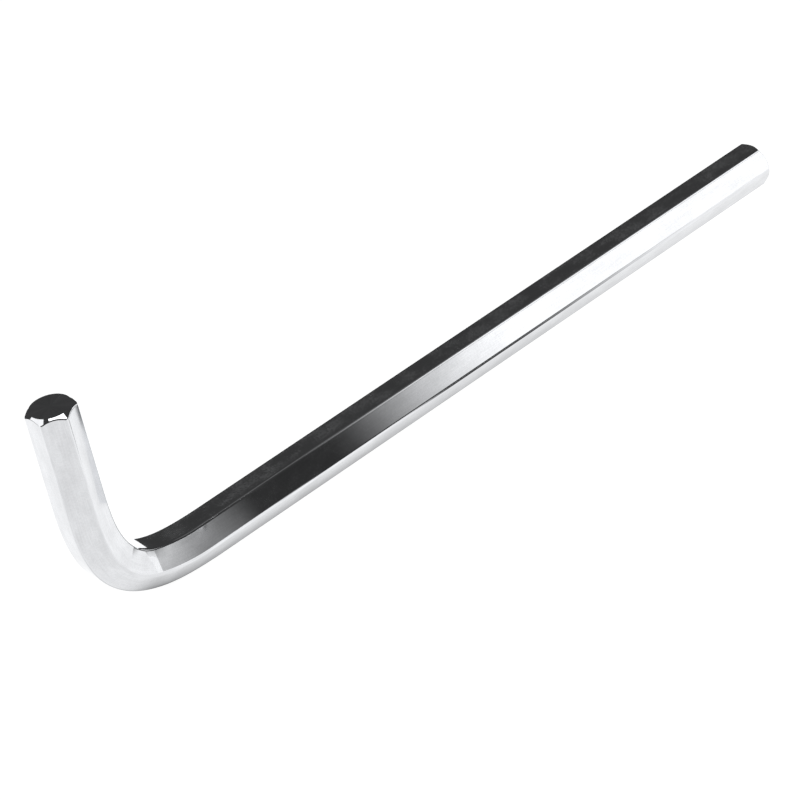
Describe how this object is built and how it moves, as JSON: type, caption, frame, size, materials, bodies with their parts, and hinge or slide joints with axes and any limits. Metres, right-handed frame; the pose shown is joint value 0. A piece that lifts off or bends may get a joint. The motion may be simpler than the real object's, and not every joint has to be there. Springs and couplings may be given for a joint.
{
  "type": "hex key",
  "caption": "L-shaped hexagonal key: a hexagon bar bent once through a right angle, with eased corners and a turned chamfer at both tips.",
  "frame": {"origin": "on the resting flat of the long arm, at the middle of the overall length", "axes": "+X along the long arm towards its tip, +Z along the short arm towards its tip, the bend lies in the XZ plane"},
  "size_m": [0.168, 0.009, 0.044],
  "materials": {
    "plated_steel": "polished bright plating over a hardened steel bar"
  },
  "bodies": {
    "root": {"hex_key": "plated_steel"}
  },
  "joints": []
}
